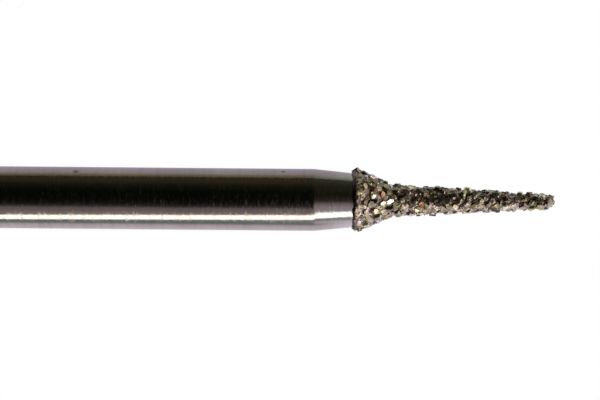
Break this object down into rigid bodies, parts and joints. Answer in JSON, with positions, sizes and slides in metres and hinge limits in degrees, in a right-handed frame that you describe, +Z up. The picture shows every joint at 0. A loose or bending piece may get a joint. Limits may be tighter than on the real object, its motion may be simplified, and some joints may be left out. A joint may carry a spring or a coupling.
{
  "type": "dental bur",
  "caption": "Friction-grip diamond bur: a plain round shank, a short cone and a long tapered needle coated with coarse diamond grit.",
  "frame": {"origin": "centre of the shank's flat rear end, on the axis of rotation", "axes": "+X along the axis of rotation from the rear end towards the tip, +Z up as the bur lies on its side"},
  "size_m": [0.019, 0.0017, 0.0016],
  "materials": {
    "steel": "turned and finely ground, bright, with faint rings around it",
    "diamond_grit": "rough single layer of diamond crystals in a nickel bond, grey-brown with bright glints"
  },
  "bodies": {
    "root": {"steel_blank": "steel", "diamond_coating": "diamond_grit"}
  },
  "joints": []
}
